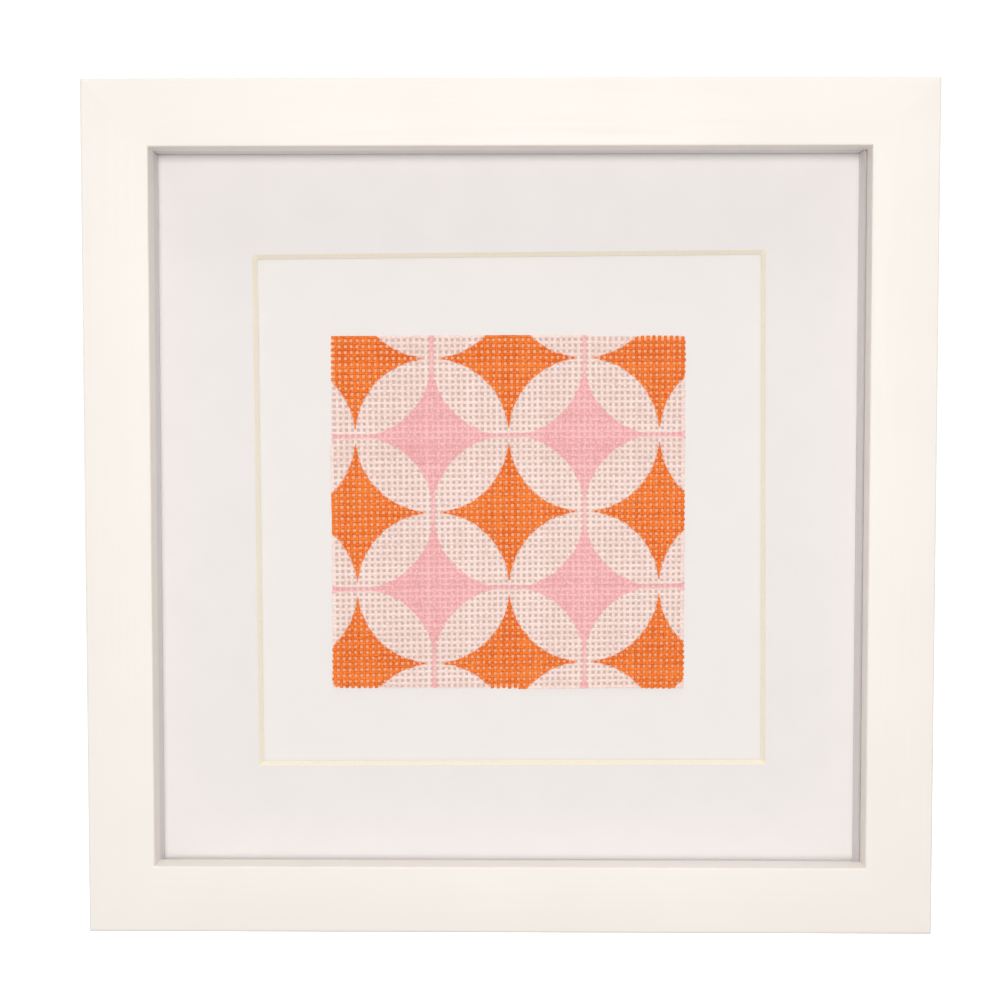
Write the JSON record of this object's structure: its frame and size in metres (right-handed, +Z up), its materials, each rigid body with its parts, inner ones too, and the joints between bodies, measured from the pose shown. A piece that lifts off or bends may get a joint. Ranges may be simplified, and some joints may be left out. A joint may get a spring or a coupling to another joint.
{
  "type": "needlepoint canvas panel in a picture frame",
  "caption": "Square panel of open-weave needlepoint canvas laid on a board in a bevelled window mat, held in a plain square box picture frame that stands on its edge.",
  "frame": {"origin": "middle of the frame's depth and width, on the underside of the bottom rail", "axes": "+Z up along the frame's height, +X to the right along the bottom rail as seen from the front, front facing -Y"},
  "size_m": [0.275, 0.032, 0.2764],
  "materials": {
    "painted_wood": "satin white paint over wood, with faint brush marks",
    "spacer_board": "matt white paper-faced strip",
    "mat_board": "matt white paper board with a cream core",
    "mount_board": "matt white paper board",
    "canvas_cloth": "stiff cotton mono canvas, printed orange, pink and pale blush",
    "back_board": "plain brown hardboard"
  },
  "bodies": {
    "root": {"rail_top": "painted_wood", "rail_bottom": "painted_wood", "rail_left": "painted_wood", "rail_right": "painted_wood", "spacer_top": "spacer_board", "spacer_bottom": "spacer_board", "spacer_left": "spacer_board", "spacer_right": "spacer_board", "mat": "mat_board", "mount_board": "mount_board", "canvas": "canvas_cloth", "back_board": "back_board"}
  },
  "joints": []
}
